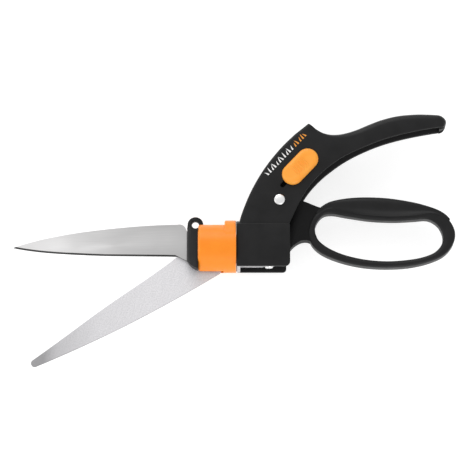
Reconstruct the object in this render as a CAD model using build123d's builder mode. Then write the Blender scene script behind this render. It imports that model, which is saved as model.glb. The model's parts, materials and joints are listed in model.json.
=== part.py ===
"""Grass shears: squeeze-handle shears with a swivelling blade head and a thumb lock.

The tool lies flat on its side. +X runs along the swivel axis from the blades to the handles, +Y is the
direction from the finger loop to the upper handle and +Z is up. The origin is the middle of the base.
Every drawing plane is set on the swivel axis, so sketch points are counted from that axis.
"""
from build123d import *
import os
from math import cos, radians, sin, sqrt

# Frame
AXIS_Y = -6.58
AXIS_Z = 18.1

# Blade head
BLADE_THICK = 1.8
BLADE_GAP = 0.1
BLADE_SWING = 34.0
BLADE_PIVOT = (-20.0, -8.5)
DRIVE_ARM = 16.0
DRIVE_PIN_R = 2.5
BOLT_R = 2.5
BOLT_HEAD_R = 4.0
COLLAR_R = AXIS_Z
COLLAR_BORE_R = 14.95
COLLAR_FRONT = -27.0
COLLAR_REAR = 1.4
BAND_FRONT = -7.2
BAND_TOP = 21.4
BAND_R = 16.6
HOLDER_R = 14.8
HOLDER_FRONT = -35.4
HOLDER_REAR = 0.4
EYE_CENTRE = (-29.0, 18.0)
EYE_HOLE_R = 2.75
EYE_OUTER_R = 5.9
EYE_HALF = 2.0
EYE_RECESS_R = 5.3
EYE_WEB_R = 3.4
EYE_WEB_TOP = 3.4

# Swivel bearing
PLATE_FRONT = 2.1
PLATE_THICK = 2.5
PLATE_HALF = 11.2
PLATE_BOTTOM = -16.3
PLATE_TOP = 14.5
TONGUE_FACE = -13.2
TONGUE_THICK = 1.6
TONGUE_SCREW_X = 26.0
TONGUE_SCREW_R = 1.55
WASHER_R = 11.3
SPINDLE_R = 9.0
SPINDLE_BORE_R = 5.2
RING_FRONT = 4.7
RING_THICK = 1.2
GROOVE_R = 8.2
RUNNING = 0.05

# Push rod
ROD_R = 3.0
SPOOL_R = 6.5
FORK_PIN_R = 2.0
ROD_TRAVEL = 2 * DRIVE_ARM * sin(radians(BLADE_SWING / 2))
ROD_FRONT = -11.5
YOKE_LEVEL = -2.4
YOKE_THICK = 3.2

# Handle body
RIVET = (33.9, 34.8)
RIVET_R = 2.5
RIVET_HEAD_R = 4.05
RIVET_HEAD_HEIGHT = 1.7
RIVET_TAIL_R = 3.3
RIVET_TAIL_HEIGHT = 1.3
RIVET_WASHER_R = 4.6
RIVET_WASHER_THICK = 0.9
SPINE_CENTRE = (141.2, -20.2)
SPINE_R = 142.7
WALL = 2.5
ARM_HALF = 13.2
GRIP_HALF = 10.0
ARM_END = 62.0
GRIP_START = 95.0
HOUSING_HALF = 14.0
HOUSING_BOTTOM = -16.0
HOUSING_TOP = 16.7
HOUSING_REAR = 41.7
RIB_DEPTH = 4.0
FRONT_LIP_R = 16.2
FRONT_LIP_CENTRE = 4.6
FRONT_LIP_THICK = 2.5
TIP = 160.2

# Lever
FORK_REACH = RIVET[1] + 0.16
LEVER_HALF_SWING = 7.73
HUB_R = 7.0
HUB_SLEEVE_R = 4.7
BUSH_R = 3.5
NECK_HALF = 4.9
FORK_INSIDE = 7.2
FORK_OUTSIDE = 9.7
LOOP_HALF = 5.8
PAD_HALF = 10.0

# Lock
BUTTON_CENTRE = (49.4, 59.9)
LOCK_ANGLE = 46.6
LOCK_TRAVEL = 6.0
BUTTON_HALF_WIDTH = 8.0
BUTTON_LENGTH = 32.4
BUTTON_HEIGHT = 3.9
SLOT_WIDTH = 3.5
STEM_WIDTH = 3.1

os.makedirs("parts", exist_ok=True)

MIDDLE = Plane(origin=(0, AXIS_Y, AXIS_Z))
PLANFORM = Plane(origin=(0, AXIS_Y, AXIS_Z), x_dir=(1, 0, 0), z_dir=(0, -1, 0))
SWIVEL_AXIS = Axis((0, AXIS_Y, AXIS_Z), (1, 0, 0))


def layer(height):
    """Drawing plane parallel to the blades, at a height above the swivel axis."""
    return MIDDLE.offset(height)


def across(x):
    """Drawing plane square to the swivel axis, facing the handles."""
    return Plane(origin=(x, AXIS_Y, AXIS_Z), x_dir=(0, 1, 0), z_dir=(1, 0, 0))


def upright(y):
    """Drawing plane square to +Y, with sketch x along the tool and sketch y pointing down."""
    return Plane(origin=(0, AXIS_Y + y, AXIS_Z), x_dir=(1, 0, 0), z_dir=(0, 1, 0))


def along_lock(height):
    """Drawing plane of the lock: sketch x points the way the button slides to lock."""
    direction = (-cos(radians(LOCK_ANGLE)), -sin(radians(LOCK_ANGLE)), 0)
    origin = (BUTTON_CENTRE[0], AXIS_Y + BUTTON_CENTRE[1], AXIS_Z + height)
    return Plane(origin=origin, x_dir=direction, z_dir=(0, 0, 1))


def spine_point(y, inset=0.0):
    """Point of the arm's front contour at a height, or of the same arc moved inwards."""
    radius = SPINE_R - inset
    return (SPINE_CENTRE[0] - sqrt(radius**2 - (y - SPINE_CENTRE[1]) ** 2), y)


def at_angle(centre, radius, angle):
    """Point at a radius and an angle from a centre."""
    return (centre[0] + radius * cos(radians(angle)), centre[1] + radius * sin(radians(angle)))


DRIVE_PIN = at_angle(BLADE_PIVOT, DRIVE_ARM, 90 + BLADE_SWING / 2)
FORK_PIN = at_angle(RIVET, FORK_REACH, 270 - LEVER_HALF_SWING)
FIXED_BLADE_TOP = BLADE_GAP + BLADE_THICK

# ---------------------------------------------------------------- handle body
with BuildPart() as arm_cavity:
    with BuildSketch(layer(0)):
        with BuildLine():
            front = ThreePointArc(spine_point(14.6, WALL), spine_point(50, WALL), spine_point(87.6, WALL))
            saddle = ThreePointArc((58.6, 89.6), (64.6, 85.6), (75.5, 83.4))
            roof = Spline(saddle @ 1, (92, 87.7), (112, 96.0), (136.5, 100.2), (152.0, 99.7))
            Line(front @ 1, saddle @ 0)
            end = Line(roof @ 1, (154.6, 95.6))
            Polyline(end @ 1, (154.6, 76), (100, 45), (62, 14), (62, 14.6), front @ 0)
        make_face()
    extrude(amount=ARM_HALF, both=True)
    with BuildSketch(PLANFORM):
        with BuildLine():
            Polyline(
                (0, ARM_HALF - WALL),
                (ARM_END, ARM_HALF - WALL),
                (GRIP_START, GRIP_HALF - WALL),
                (TIP, GRIP_HALF - WALL),
                (TIP, 0),
                (0, 0),
                close=True,
            )
        make_face()
        mirror(about=Plane.XZ)
    extrude(amount=150, both=True, mode=Mode.INTERSECT)
    with BuildSketch(layer(0)):
        with BuildLine():
            Polyline((1, -30), (60, -30), (60, 15.5), (1, 15.5), close=True)
        make_face()
    extrude(amount=HOUSING_HALF - WALL, both=True)

with BuildPart() as handle_body:
    with BuildSketch(layer(0)):
        with BuildLine():
            front = ThreePointArc(spine_point(HOUSING_TOP), spine_point(55), spine_point(94.2))
            saddle = ThreePointArc(front @ 1, (64.4, 88.6), (75.5, 86.0))
            roof = Spline(
                saddle @ 1, (92, 90.4), (112, 98.7), (136.8, 102.8), (154.2, 102.1),
                tangents=(saddle % 1, (1, -0.08)),
            )
            end = ThreePointArc(roof @ 1, (160.1, 97.0), (154.6, 91.9))
            under = ThreePointArc(end @ 1, (130, 87.3), (104, 79.1))
            palm = ThreePointArc(under @ 1, (74, 62.7), (52.3, 39.5))
            Polyline(palm @ 1, (44.1, 23.3), (41.3, HOUSING_TOP), front @ 0)
        make_face()
    extrude(amount=ARM_HALF, both=True)
    with BuildSketch(PLANFORM):
        with BuildLine():
            Polyline((0, 0), (0, ARM_HALF), (ARM_END, ARM_HALF))
            Spline(
                (ARM_END, ARM_HALF), (78, 11.9), (GRIP_START, GRIP_HALF),
                tangents=((1, 0), (1, -0.02)),
            )
            Line((GRIP_START, GRIP_HALF), (TIP - 8, GRIP_HALF))
            ThreePointArc((TIP - 8, GRIP_HALF), (TIP - 2.2, 7.4), (TIP, 2.5))
            Polyline((TIP, 2.5), (TIP, 0), (0, 0))
        make_face()
        mirror(about=Plane.XZ)
    extrude(amount=150, both=True, mode=Mode.INTERSECT)
    with BuildSketch(layer(0)):
        with BuildLine():
            Polyline(
                (2, HOUSING_BOTTOM),
                (HOUSING_REAR - 4, HOUSING_BOTTOM),
                (HOUSING_REAR, HOUSING_BOTTOM + 4),
                (HOUSING_REAR, HOUSING_TOP),
                (2, HOUSING_TOP),
                close=True,
            )
        make_face()
    extrude(amount=HOUSING_HALF, both=True)
    # Round lip behind the collar's band
    with BuildSketch(across(2)):
        with Locations((FRONT_LIP_CENTRE, 0)):
            Circle(FRONT_LIP_R)
        with Locations((HOUSING_TOP / 2 - 20, 0)):
            Rectangle(HOUSING_TOP + 39, 3 * FRONT_LIP_R, mode=Mode.SUBTRACT)
    extrude(amount=FRONT_LIP_THICK)
    add(arm_cavity.part, mode=Mode.SUBTRACT)
    # Cross rib for the plate's tongue, and the post that the open lever rests on
    with BuildSketch(layer(0)):
        with Locations((22, TONGUE_FACE + TONGUE_THICK + RIB_DEPTH / 2)):
            Rectangle(16, RIB_DEPTH)
        with Locations((23, 20)):
            Rectangle(5, 6)
    extrude(amount=ARM_HALF - WALL / 2, both=True)
    with BuildSketch(layer(0)):
        with Locations(RIVET):
            Circle(RIVET_R)
    extrude(amount=HOUSING_HALF, both=True, mode=Mode.SUBTRACT)
    with BuildSketch(along_lock(ARM_HALF - WALL - 1)):
        with Locations((6.5, 0)):
            SlotOverall(29, SLOT_WIDTH)
    extrude(amount=WALL + 2, mode=Mode.SUBTRACT)
    with BuildSketch(upright(TONGUE_FACE + TONGUE_THICK)):
        with Locations((TONGUE_SCREW_X, 0)):
            Circle(TONGUE_SCREW_R + RUNNING)
    extrude(amount=RIB_DEPTH, mode=Mode.SUBTRACT)
handle_body.part.label = "handle_body"
export_step(handle_body.part, "parts/handle_body.step")

with BuildPart() as bearing_plate:
    with BuildSketch(across(PLATE_FRONT)):
        with Locations(((PLATE_TOP + PLATE_BOTTOM) / 2, 0)):
            RectangleRounded(PLATE_TOP - PLATE_BOTTOM, 2 * PLATE_HALF, 3)
        Circle(SPINDLE_R + RUNNING, mode=Mode.SUBTRACT)
    extrude(amount=PLATE_THICK)
    with BuildSketch(upright(TONGUE_FACE)):
        with Locations((12, 0)):
            Rectangle(19.8, 11)
        with Locations((24, 0)):
            SlotOverall(13, 7.2)
        with Locations((TONGUE_SCREW_X, 0)):
            Circle(TONGUE_SCREW_R + 3 * RUNNING, mode=Mode.SUBTRACT)
    extrude(amount=TONGUE_THICK)
bearing_plate.part.label = "bearing_plate"
export_step(bearing_plate.part, "parts/bearing_plate.step")

SCREW_HEAD_HEIGHT = 1.5
with BuildPart() as bracket_screw:
    with BuildSketch(upright(TONGUE_FACE - RUNNING)):
        with Locations((TONGUE_SCREW_X, 0)):
            Circle(3.0)
    extrude(amount=-SCREW_HEAD_HEIGHT)
    fillet(bracket_screw.edges().group_by(Axis.Y)[0], 1.0)
    with BuildSketch(upright(TONGUE_FACE - SCREW_HEAD_HEIGHT - 2 * RUNNING)):
        with Locations((TONGUE_SCREW_X, 0)):
            Rectangle(3.6, 0.8)
            Rectangle(0.8, 3.6)
    extrude(amount=0.8, mode=Mode.SUBTRACT)
    with BuildSketch(upright(TONGUE_FACE - 2 * RUNNING)):
        with Locations((TONGUE_SCREW_X, 0)):
            Circle(TONGUE_SCREW_R)
    extrude(amount=5.2)
bracket_screw.part.label = "bracket_screw"
export_step(bracket_screw.part, "parts/bracket_screw.step")

with BuildPart() as thrust_washer:
    with BuildSketch(across(COLLAR_REAR + RUNNING)):
        Circle(WASHER_R)
        Circle(SPINDLE_R + 0.15, mode=Mode.SUBTRACT)
    extrude(amount=PLATE_FRONT - COLLAR_REAR - RUNNING)
thrust_washer.part.label = "thrust_washer"
export_step(thrust_washer.part, "parts/thrust_washer.step")

with BuildPart() as pivot_rivet:
    with BuildSketch(layer(ARM_HALF)):
        with Locations(RIVET):
            Circle(RIVET_HEAD_R)
    extrude(amount=RIVET_HEAD_HEIGHT)
    fillet(pivot_rivet.edges().group_by(Axis.Z)[-1], 1.3)
    with BuildSketch(layer(-ARM_HALF - RIVET_HEAD_HEIGHT)):
        with Locations(RIVET):
            Circle(RIVET_R - 0.02)
    extrude(amount=2 * ARM_HALF + RIVET_HEAD_HEIGHT + 0.2)
    with BuildSketch(layer(-ARM_HALF - RIVET_WASHER_THICK)):
        with Locations(RIVET):
            Circle(RIVET_TAIL_R)
    extrude(amount=-RIVET_TAIL_HEIGHT)
pivot_rivet.part.label = "pivot_rivet"
export_step(pivot_rivet.part, "parts/pivot_rivet.step")

with BuildPart() as rivet_washer:
    with BuildSketch(layer(-ARM_HALF - RIVET_WASHER_THICK)):
        with Locations(RIVET):
            Circle(RIVET_WASHER_R)
            Circle(RIVET_R, mode=Mode.SUBTRACT)
    extrude(amount=RIVET_WASHER_THICK)
rivet_washer.part.label = "rivet_washer"
export_step(rivet_washer.part, "parts/rivet_washer.step")

# Torsion spring: one leg lies against the spine, the other against the lever's neck
SPRING_R = 6.2
WIRE_R = 0.75
SPRING_BASE = 4.3
SPRING_PITCH = 1.6
SPRING_TURNS = 3
SPINE_LEG = 7.0
NECK_LEG = 13.0
with BuildPart() as return_spring:
    with BuildLine(Plane(origin=(RIVET[0], AXIS_Y + RIVET[1], AXIS_Z + SPRING_BASE))) as coil:
        Helix(pitch=SPRING_PITCH, height=SPRING_PITCH * SPRING_TURNS, radius=SPRING_R)
    with BuildSketch(Plane(origin=coil.line @ 0, z_dir=coil.line % 0)):
        Circle(WIRE_R)
    sweep(is_frenet=True)
    with BuildSketch(Plane(origin=coil.line @ 0, z_dir=-(coil.line % 0))):
        Circle(WIRE_R)
    extrude(amount=NECK_LEG)
    with BuildSketch(Plane(origin=coil.line @ 1, z_dir=coil.line % 1)):
        Circle(WIRE_R)
    extrude(amount=SPINE_LEG)
return_spring.part.label = "return_spring"
export_step(return_spring.part, "parts/return_spring.step")

# ---------------------------------------------------------------- lever
HORN_ANGLE = 54.4
HORN_REACH = 26.0
HORN_WIDTH = 2.0
HORN_BASE = 3.2
FORK_EYE_R = 4.8
FORK_THICK = FORK_OUTSIDE - FORK_INSIDE
with BuildPart() as lever_core:
    with BuildSketch(layer(-NECK_HALF)):
        with Locations(RIVET):
            Circle(HUB_R)
        with BuildLine():
            Polyline(
                at_angle(RIVET, HUB_R, 190),
                (27.5, 24),
                (27.5, 15),
                (38.8, 12),
                (41.2, 5),
                (59.2, 8),
                (59.2, 24),
                (50, 33),
                at_angle(RIVET, HUB_R, 60),
                close=True,
            )
        make_face()
    extrude(amount=NECK_HALF + HORN_BASE)
    with BuildSketch(layer(-NECK_HALF)):
        with BuildLine():
            top = Spline((44.0, 36.6), (51.3, 35.8), (58, 33.2), (66.5, 30.2))
            Polyline(top @ 1, (62.6, 24), (59.6, 14), (62.6, 5.8), (57.5, 4.5))
            lower = Spline((57.5, 4.5), (52, 5.6), (48, 4.2), (42, -1.2))
            Polyline(lower @ 1, (39.6, 7), (40.8, 20), top @ 0)
        make_face()
    extrude(amount=2 * NECK_HALF)
    with BuildSketch(layer(-FORK_OUTSIDE)):
        with BuildLine():
            Polyline((27.5, 15), (27.5, 26), (40, 26), (40, 12), (37, 12), close=True)
        make_face()
    extrude(amount=2 * FORK_OUTSIDE)
    for level in (-FORK_OUTSIDE, FORK_INSIDE):
        with BuildSketch(layer(level)):
            with BuildLine():
                Polyline((27.5, 26), (38, 26), (34, FORK_PIN[1]), (24.4, FORK_PIN[1]), close=True)
            make_face()
            with Locations(FORK_PIN):
                Circle(FORK_EYE_R)
        extrude(amount=FORK_THICK)
    with BuildSketch(layer(-FORK_OUTSIDE - 0.2)):
        with Locations(RIVET):
            Circle(HUB_R)
    extrude(amount=FORK_OUTSIDE + 0.2 - NECK_HALF)
    with BuildSketch(layer(0)):
        with Locations(RIVET):
            Circle(HUB_SLEEVE_R)
    extrude(amount=FORK_OUTSIDE)
    with BuildSketch(layer(-3)):
        with Locations(Location(at_angle(RIVET, HORN_REACH / 2 + 3, HORN_ANGLE), HORN_ANGLE)):
            Rectangle(HORN_REACH - 6, HORN_WIDTH)
    extrude(amount=6.2)
    with BuildSketch(layer(0)):
        with Locations(Location(at_angle(RIVET, HORN_REACH / 2 + 4, HORN_ANGLE), HORN_ANGLE)):
            Rectangle(HORN_REACH - 8, HORN_WIDTH)
    extrude(amount=6)
    with BuildSketch(layer(-FORK_OUTSIDE - 1)):
        with Locations(RIVET):
            Circle(BUSH_R)
        with Locations(FORK_PIN):
            Circle(FORK_PIN_R)
    extrude(amount=2 * FORK_OUTSIDE + 2, mode=Mode.SUBTRACT)
    # Room for the spool between the fork arms, and for the spring's leg
    with BuildSketch(layer(-FORK_INSIDE)):
        with Locations((29, 2)):
            Rectangle(18, 20)
    extrude(amount=2 * FORK_INSIDE, mode=Mode.SUBTRACT)
    with BuildSketch(layer(SPRING_BASE - 1.8)):
        with BuildLine():
            Polyline((38.6, 36), (41.8, 36), (41.8, 19), (38.6, 19), close=True)
        make_face()
    extrude(amount=8, mode=Mode.SUBTRACT)
lever_core.part.label = "lever_core"
export_step(lever_core.part, "parts/lever_core.step")

with BuildPart() as lever_bush:
    with BuildSketch(layer(-FORK_OUTSIDE - 0.2)):
        with Locations(RIVET):
            Circle(BUSH_R)
            Circle(RIVET_R + 0.03, mode=Mode.SUBTRACT)
    extrude(amount=2 * FORK_OUTSIDE + 0.2)
lever_bush.part.label = "lever_bush"
export_step(lever_bush.part, "parts/lever_bush.step")

FORK_PIN_INNER = 3.7
with BuildPart() as fork_pins:
    for level in (-FORK_OUTSIDE, FORK_PIN_INNER):
        with BuildSketch(layer(level)):
            with Locations(FORK_PIN):
                Circle(FORK_PIN_R)
        extrude(amount=FORK_OUTSIDE - FORK_PIN_INNER)
fork_pins.part.label = "fork_pins"
export_step(fork_pins.part, "parts/fork_pins.step")

PAD_LEFT = (65.6, 31.6)
PAD_RIGHT = (158.0, 25.6)
with BuildPart() as finger_loop:
    with BuildSketch(layer(-LOOP_HALF)):
        with BuildLine():
            Spline(
                (55.2, 11), (57.6, 20.5), (64, 29.8), (82.8, 36.8), (103, 38.0), (136.8, 33.8),
                (157.6, 26.3), (165.6, 10.7), (158.4, -3.8), (136.8, -13.4), (116.9, -15.3),
                (90, -13.2), (66, -4.9), (57, 3.4),
                periodic=True,
            )
        make_face()
        with BuildLine():
            Spline(
                (60.6, 14.2), (64.0, 22.6), (71.5, 26.0), (84, 24.1), (100.8, 21.5), (118.8, 20.6),
                (136.8, 21.8), (146.6, 21.7), (153.6, 15.6), (156.2, 6.5), (151.2, -3.0),
                (136, -8.6), (114.3, -10.4), (92, -8.0), (71, -0.2),
                periodic=True,
            )
        make_face(mode=Mode.SUBTRACT)
        with BuildLine():
            Spline(
                PAD_LEFT, (74, 29.9), (84, 27.0), (100.8, 24.0), (118.8, 23.0), (137, 24.4),
                (148, 25.7), PAD_RIGHT,
            )
            Polyline(PAD_RIGHT, (158, 50), (60, 50), (60, 31.6), PAD_LEFT)
        make_face(mode=Mode.SUBTRACT)
    extrude(amount=2 * LOOP_HALF)
    with BuildSketch(layer(-NECK_HALF)):
        with BuildLine():
            Polyline(
                (66.9, 32.6), (66.9, 30.3), (62.8, 24), (59.75, 14), (62.8, 5.7), (57.4, 4.2),
                (46, 0), (40, 20), (40, 40), (60, 40),
                close=True,
            )
        make_face()
    extrude(amount=2 * NECK_HALF, mode=Mode.SUBTRACT)
finger_loop.part.label = "finger_loop"
export_step(finger_loop.part, "parts/finger_loop.step")

with BuildPart() as loop_grip:
    with BuildSketch(layer(-PAD_HALF)):
        with BuildLine():
            Spline(
                PAD_LEFT, (70.5, 34.2), (82.8, 37.0), (103, 38.1), (120, 36.9), (136.8, 33.8), PAD_RIGHT,
            )
            Spline(
                PAD_RIGHT, (148, 25.9), (137, 24.6), (118.8, 23.2), (100.8, 24.2), (84, 27.2), (74, 30.1),
                PAD_LEFT,
            )
        make_face()
    extrude(amount=2 * PAD_HALF)
    with BuildSketch(PLANFORM):
        with BuildLine():
            Spline(
                (PAD_LEFT[0] - 1, 4.5), (74, 7.6), (88, 9.6), (104, PAD_HALF), (122, 9.6), (140, 8.0),
                (PAD_RIGHT[0] + 1, 5.0),
            )
            Polyline((PAD_RIGHT[0] + 1, 5.0), (PAD_RIGHT[0] + 1, 0), (PAD_LEFT[0] - 1, 0))
            Line((PAD_LEFT[0] - 1, 0), (PAD_LEFT[0] - 1, 4.5))
        make_face()
        mirror(about=Plane.XZ)
    extrude(amount=60, both=True, mode=Mode.INTERSECT)
loop_grip.part.label = "loop_grip"
export_step(loop_grip.part, "parts/loop_grip.step")

# ---------------------------------------------------------------- lock
INNER_WALL = ARM_HALF - WALL
SCREW_SPOTS = ((6.2, 0), (11.4, 0))
LOCK_SCREW_R = 0.8
LOCK_SCREW_HEAD_R = 1.7
SLIDER_THICK = 2.7
SLIDER_FACE = INNER_WALL - 0.2
CATCH_DEPTH = 4.6
with BuildPart() as lock_button:
    with BuildSketch(along_lock(ARM_HALF + 0.1)):
        SlotOverall(BUTTON_LENGTH, 2 * BUTTON_HALF_WIDTH)
    extrude(amount=BUTTON_HEIGHT)
    fillet(lock_button.edges().group_by(Axis.Z)[-1], 2.2)
    with BuildSketch(along_lock(ARM_HALF + BUTTON_HEIGHT - 0.5)):
        with GridLocations(2.6, 1, 5, 1):
            Rectangle(0.9, 10)
    extrude(amount=1, mode=Mode.SUBTRACT)
    with BuildSketch(along_lock(INNER_WALL - 0.1)):
        with Locations((4, 0)):
            SlotOverall(19, STEM_WIDTH)
    extrude(amount=WALL + 0.3)
    with BuildSketch(along_lock(INNER_WALL - 1)):
        with Locations(SCREW_SPOTS):
            Circle(LOCK_SCREW_R)
    extrude(amount=WALL + 3, mode=Mode.SUBTRACT)
lock_button.part.label = "lock_button"
export_step(lock_button.part, "parts/lock_button.step")

with BuildPart() as lock_slider:
    with BuildSketch(along_lock(SLIDER_FACE)):
        with Locations((1.75, 0)):
            Rectangle(25.5, 9)
    extrude(amount=-SLIDER_THICK)
    # Catch that drops behind the lever's horn
    with BuildSketch(along_lock(SLIDER_FACE - SLIDER_THICK + 0.1)):
        with Locations((-1.4, 0)):
            Rectangle(9.2, 1.6)
    extrude(amount=-CATCH_DEPTH)
    with BuildSketch(along_lock(INNER_WALL - 3)):
        with Locations(SCREW_SPOTS):
            Circle(LOCK_SCREW_HEAD_R + 0.1)
    extrude(amount=1.5, mode=Mode.SUBTRACT)
    with BuildSketch(along_lock(INNER_WALL - 3)):
        with Locations(SCREW_SPOTS):
            Circle(LOCK_SCREW_R + 0.15)
    extrude(amount=5, mode=Mode.SUBTRACT)
lock_slider.part.label = "lock_slider"
export_step(lock_slider.part, "parts/lock_slider.step")

with BuildPart() as lock_screws:
    with BuildSketch(along_lock(INNER_WALL - 2.85)):
        with Locations(SCREW_SPOTS):
            Circle(LOCK_SCREW_HEAD_R)
    extrude(amount=1.3)
    with BuildSketch(along_lock(INNER_WALL - 1.6)):
        with Locations(SCREW_SPOTS):
            Circle(LOCK_SCREW_R - 0.02)
    extrude(amount=4.0)
lock_screws.part.label = "lock_screws"
export_step(lock_screws.part, "parts/lock_screws.step")

with BuildPart() as detent_clip:
    with BuildSketch(along_lock(INNER_WALL - 2.7)):
        with BuildLine():
            Polyline((-10, 4.8), (-6, 4.8), (-1, 6.3), (4, 4.8), (10, 4.8))
        trace(line_width=0.5)
    extrude(amount=2.3)
detent_clip.part.label = "detent_clip"
export_step(detent_clip.part, "parts/detent_clip.step")

# ---------------------------------------------------------------- swivelling head
with BuildPart() as swivel_collar:
    with BuildSketch(PLANFORM):
        with BuildLine():
            Polyline(
                (COLLAR_REAR, COLLAR_R),
                (COLLAR_FRONT, COLLAR_R),
                (COLLAR_FRONT, COLLAR_BORE_R),
                (HOLDER_REAR + 0.1, COLLAR_BORE_R),
                (HOLDER_REAR + 0.1, SPINDLE_R + 0.1),
                (COLLAR_REAR, SPINDLE_R + 0.1),
                close=True,
            )
        make_face()
    revolve(axis=SWIVEL_AXIS)
    outer_front = swivel_collar.edges().group_by(Axis.X)[0].sort_by(SortBy.RADIUS)[-1]
    fillet(outer_front, 2.2)
    with BuildSketch(across(BAND_FRONT)):
        with Locations((BAND_TOP - BAND_R, 0)):
            Circle(BAND_R)
        Circle(COLLAR_BORE_R + 1, mode=Mode.SUBTRACT)
    extrude(amount=COLLAR_REAR - BAND_FRONT)
    band_rims = swivel_collar.edges().filter_by(GeomType.CIRCLE).filter_by(
        lambda rim: abs(rim.radius - BAND_R) < 0.01
    )
    fillet(band_rims, 1.0)
    with BuildSketch(layer(-3.2)):
        with Locations((-18, -18)):
            Rectangle(20, 10)
    extrude(amount=6.4, mode=Mode.SUBTRACT)
    # Relief in the rim beside the hanging eye
    with BuildSketch(layer(0)):
        with Locations(EYE_CENTRE):
            Circle(EYE_HOLE_R + 0.3)
    extrude(amount=COLLAR_R, both=True, mode=Mode.SUBTRACT)
swivel_collar.part.label = "swivel_collar"
export_step(swivel_collar.part, "parts/swivel_collar.step")

DOME_BACK = 12.6
SPINDLE_FLANGE_R = 12.0
HOLDER_SCREW_SPOTS = ((-32.4, 9.6), (-6.2, -9.9))
HOLDER_SCREW_R = 1.55
HOLDER_SCREW_HEAD_R = 2.6
HOLDER_SCREW_SEAT = -6.0
with BuildPart() as holder:
    with BuildSketch(layer(0)):
        with BuildLine():
            ThreePointArc((COLLAR_FRONT + 0.1, -17.4), (-32.2, -14.4), (HOLDER_FRONT, -9.6))
            Polyline(
                (HOLDER_FRONT, -9.6), (HOLDER_FRONT, 11.5), (-33.8, 15.0),
                (COLLAR_FRONT + 0.1, 16.0), (COLLAR_FRONT + 0.1, -17.4),
            )
        make_face()
    extrude(amount=HOLDER_R, both=True)
    with BuildSketch(PLANFORM):
        with BuildLine():
            Line((HOLDER_FRONT, 0), (HOLDER_FRONT, 3.6))
            ThreePointArc((HOLDER_FRONT, 3.6), (-32.9, 9.3), (COLLAR_FRONT, DOME_BACK))
            Polyline((COLLAR_FRONT, DOME_BACK), (COLLAR_FRONT, 0), (HOLDER_FRONT, 0))
        make_face()
        mirror(about=Plane.XZ)
    extrude(amount=40, both=True, mode=Mode.INTERSECT)
    split(bisect_by=Plane(origin=(COLLAR_FRONT - 0.1, 0, 0), z_dir=(-1, 0, 0)))
    # Stepped recess round the hanging eye, so that a hook reaches it from both sides
    with BuildSketch(layer(0)):
        with Locations(EYE_CENTRE):
            Circle(EYE_WEB_R)
    extrude(amount=HOLDER_R, both=True, mode=Mode.SUBTRACT)
    for level, depth in ((EYE_WEB_TOP, HOLDER_R), (-EYE_WEB_TOP, -HOLDER_R)):
        with BuildSketch(layer(level)):
            with Locations(EYE_CENTRE):
                Circle(EYE_RECESS_R)
        extrude(amount=depth, mode=Mode.SUBTRACT)
    with BuildSketch(across(COLLAR_FRONT - 0.2)):
        Circle(HOLDER_R)
    extrude(amount=HOLDER_REAR - COLLAR_FRONT + 0.2)
    # Bore for the spindle, groove for its flange, and the way of the push rod's yoke
    with BuildSketch(across(-15.6)):
        Circle(4.8)
    extrude(amount=18, mode=Mode.SUBTRACT)
    with BuildSketch(across(-2.0)):
        Circle(SPINDLE_R + 0.1)
    extrude(amount=4, mode=Mode.SUBTRACT)
    with BuildSketch(across(-2.0)):
        Circle(SPINDLE_FLANGE_R + 0.1)
    extrude(amount=1.7, mode=Mode.SUBTRACT)
    with BuildSketch(layer(YOKE_LEVEL - YOKE_THICK - 0.2)):
        with Locations((-16.2, 4.1)):
            Rectangle(28.6, 17.2)
    extrude(amount=YOKE_THICK + 1, mode=Mode.SUBTRACT)
    with BuildSketch(layer(0)):
        with Locations(BLADE_PIVOT):
            Circle(BOLT_R + 0.05)
    extrude(amount=HOLDER_R, both=True, mode=Mode.SUBTRACT)
    for level, depth in ((4.4, 12), (-4.3, -12)):
        with BuildSketch(layer(level)):
            with Locations(BLADE_PIVOT):
                Circle(BOLT_HEAD_R + 0.2)
        extrude(amount=depth, mode=Mode.SUBTRACT)
    with BuildSketch(layer(5)):
        with Locations(HOLDER_SCREW_SPOTS):
            Circle(HOLDER_SCREW_R + RUNNING)
    extrude(amount=-20, mode=Mode.SUBTRACT)
    with BuildSketch(layer(HOLDER_SCREW_SEAT)):
        with Locations(HOLDER_SCREW_SPOTS):
            Circle(HOLDER_SCREW_HEAD_R + 0.3)
    extrude(amount=-12, mode=Mode.SUBTRACT)

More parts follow.
